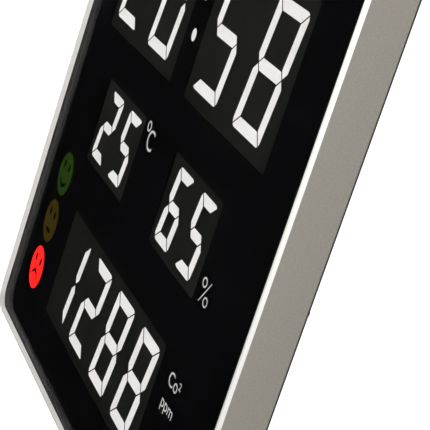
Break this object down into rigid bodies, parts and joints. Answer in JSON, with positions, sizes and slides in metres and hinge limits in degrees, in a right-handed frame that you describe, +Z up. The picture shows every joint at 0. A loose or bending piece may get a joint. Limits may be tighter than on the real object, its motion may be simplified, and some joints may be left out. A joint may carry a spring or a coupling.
{
  "type": "air quality monitor",
  "caption": "Wall-hung indoor air monitor: shallow aluminium frame and black glass over lit digits for time, temperature, humidity and carbon dioxide, with face-shaped indicators.",
  "frame": {"origin": "midway between the round entries of the two keyholes, on the outside face of the rear cover", "axes": "+X to the reader's right, +Z up, -Y out of the front glass towards the reader, +Y into the wall"},
  "size_m": [0.398, 0.028, 0.3512],
  "materials": {
    "anodised_aluminium": "bead-blasted and clear anodised, bright bevelled lip",
    "black_foam": "closed-cell foam",
    "black_plastic": "fine moulded texture",
    "black_print": "screen-printed black film",
    "brass_can": "gold-coloured optical chamber",
    "bumper_rubber": "moulded rubber",
    "can_aluminium": "drawn cans",
    "circuit_board": "green solder mask over glass fibre",
    "front_glass": "flat polished glass, lightly smoked",
    "green_face_light": "tinted light guide",
    "grey_module_face": "matt dark grey moulding",
    "painted_steel": "fine textured black powder coat",
    "plated_steel": "zinc plated",
    "red_face_light": "tinted light guide, glowing red when lit",
    "white_light_guide": "milky resin, glowing white when lit",
    "white_plastic": "moulded nylon",
    "yellow_face_light": "tinted light guide"
  },
  "bodies": {
    "housing": {"frame": "anodised_aluminium", "front_glass": "front_glass", "mask_film": "black_print", "glass_tape": "black_foam", "hours_tens_digit": "white_light_guide", "hours_ones_digit": "white_light_guide", "hours_module": "grey_module_face", "minutes_tens_digit": "white_light_guide", "minutes_ones_digit": "white_light_guide", "minutes_module": "grey_module_face", "temperature_tens_digit": "white_light_guide", "temperature_ones_digit": "white_light_guide", "temperature_module": "grey_module_face", "humidity_tens_digit": "white_light_guide", "humidity_ones_digit": "white_light_guide", "humidity_module": "grey_module_face", "gas_thousands_digit": "white_light_guide", "gas_hundreds_digit": "white_light_guide", "gas_tens_digit": "white_light_guide", "gas_ones_digit": "white_light_guide", "gas_module": "grey_module_face", "colon_housing": "grey_module_face", "colon_dots": "white_light_guide", "face_light_box": "black_plastic", "green_face_light": "green_face_light", "yellow_face_light": "yellow_face_light", "red_face_light": "red_face_light", "face_light_chips": "white_plastic", "display_board": "circuit_board", "control_board": "circuit_board", "sensor_board": "circuit_board", "display_standoffs": "plated_steel", "rear_standoffs": "plated_steel", "display_screws": "plated_steel", "rear_board_screws": "plated_steel", "power_inlet": "black_plastic", "power_switch": "black_plastic", "key_switches": "black_plastic", "cell_holder": "black_plastic", "coin_cell": "plated_steel", "microcontroller": "black_plastic", "control_chips": "black_plastic", "capacitors": "can_aluminium", "buzzer": "black_plastic", "driver_chips": "black_plastic", "display_cable": "white_plastic", "sensor_cable": "white_plastic", "cable_sockets": "white_plastic", "gas_sensor": "brass_can", "air_sensor": "white_plastic", "dust_filter": "black_foam", "rear_cover": "painted_steel", "cover_screws": "plated_steel", "wall_bumpers": "bumper_rubber"},
    "set_key": {"set_key": "black_plastic"},
    "up_key": {"up_key": "black_plastic"},
    "down_key": {"down_key": "black_plastic"},
    "alarm_key": {"alarm_key": "black_plastic"},
    "power_switch_knob": {"power_switch_knob": "black_plastic"},
    "battery_door": {"battery_door": "black_plastic"}
  },
  "joints": [
    {"name": "set_key_press", "type": "slide", "parent": "housing", "child": "set_key", "axis": [0, -1, 0], "range_m": [0, 0.0008], "stiffness_N_per_m": 900, "springref_m": -0.0008},
    {"name": "up_key_press", "type": "slide", "parent": "housing", "child": "up_key", "axis": [0, -1, 0], "range_m": [0, 0.0008], "stiffness_N_per_m": 900, "springref_m": -0.0008},
    {"name": "down_key_press", "type": "slide", "parent": "housing", "child": "down_key", "axis": [0, -1, 0], "range_m": [0, 0.0008], "stiffness_N_per_m": 900, "springref_m": -0.0008},
    {"name": "alarm_key_press", "type": "slide", "parent": "housing", "child": "alarm_key", "axis": [0, -1, 0], "range_m": [0, 0.0008], "stiffness_N_per_m": 900, "springref_m": -0.0008},
    {"name": "power_slide", "type": "slide", "parent": "housing", "child": "power_switch_knob", "axis": [1, 0, 0], "range_m": [0, 0.004]},
    {"name": "door_turn", "type": "hinge", "parent": "housing", "child": "battery_door", "pos_m": [0.146, 0, -0.228], "axis": [0, 1, 0], "range_deg": [0, 45]}
  ]
}
